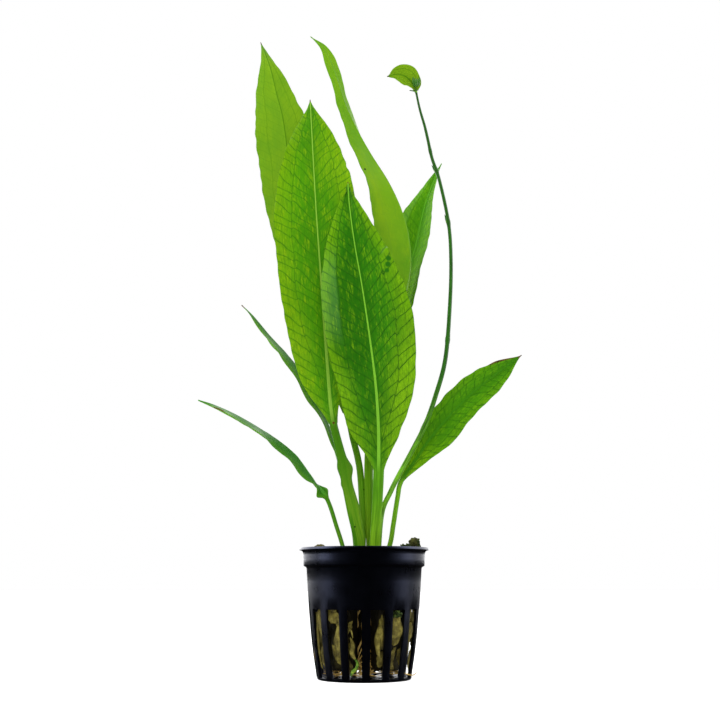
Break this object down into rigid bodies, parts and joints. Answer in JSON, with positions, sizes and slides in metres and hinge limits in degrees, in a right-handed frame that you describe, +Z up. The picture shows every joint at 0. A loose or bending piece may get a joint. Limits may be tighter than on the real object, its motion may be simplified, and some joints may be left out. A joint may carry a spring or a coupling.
{
  "type": "potted amazon sword plant",
  "caption": "Broad-leaved aquarium plant with a flower stalk, rooted in mineral wool in a small slotted net pot that stands on its flat base.",
  "frame": {"origin": "centre of the pot's base, on its underside", "axes": "+Z up along the pot's axis, -Y towards the front of the plant, where the two widest leaves face"},
  "size_m": [0.1397, 0.0632, 0.2936],
  "materials": {
    "pot_plastic": "moulded black polypropylene, slightly glossy",
    "mineral_wool": "wet, torn, fibrous, olive khaki",
    "rootstock": "matte, ringed with old leaf bases",
    "root": "matte tan fibres",
    "leaf_green": "fresh green, satin, netted with veins",
    "leaf_dark_green": "deep green, satin to glossy, pale midrib",
    "leaf_pale_green": "pale leaf underside, satin",
    "flower_stalk": "smooth dark green, satin",
    "bract": "yellow green, satin",
    "bud": "dark green, satin"
  },
  "bodies": {
    "root": {"net_pot": "pot_plastic", "wool_left": "mineral_wool", "wool_right": "mineral_wool", "wool_back": "mineral_wool", "crown": "rootstock", "root_1": "root", "root_2": "root", "root_3": "root", "root_4": "root", "root_5": "root", "root_6": "root", "leaf_tall_left": "leaf_pale_green", "leaf_front_left": "leaf_green", "leaf_front_centre": "leaf_dark_green", "leaf_tall_twisted": "leaf_pale_green", "leaf_back_right": "leaf_dark_green", "leaf_low_right": "leaf_green", "leaf_low_left": "leaf_dark_green", "leaf_mid_left": "leaf_green", "flower_stalk": "flower_stalk", "bract": "bract", "bud_1": "bud", "bud_2": "bud", "bud_3": "bud"}
  },
  "joints": []
}
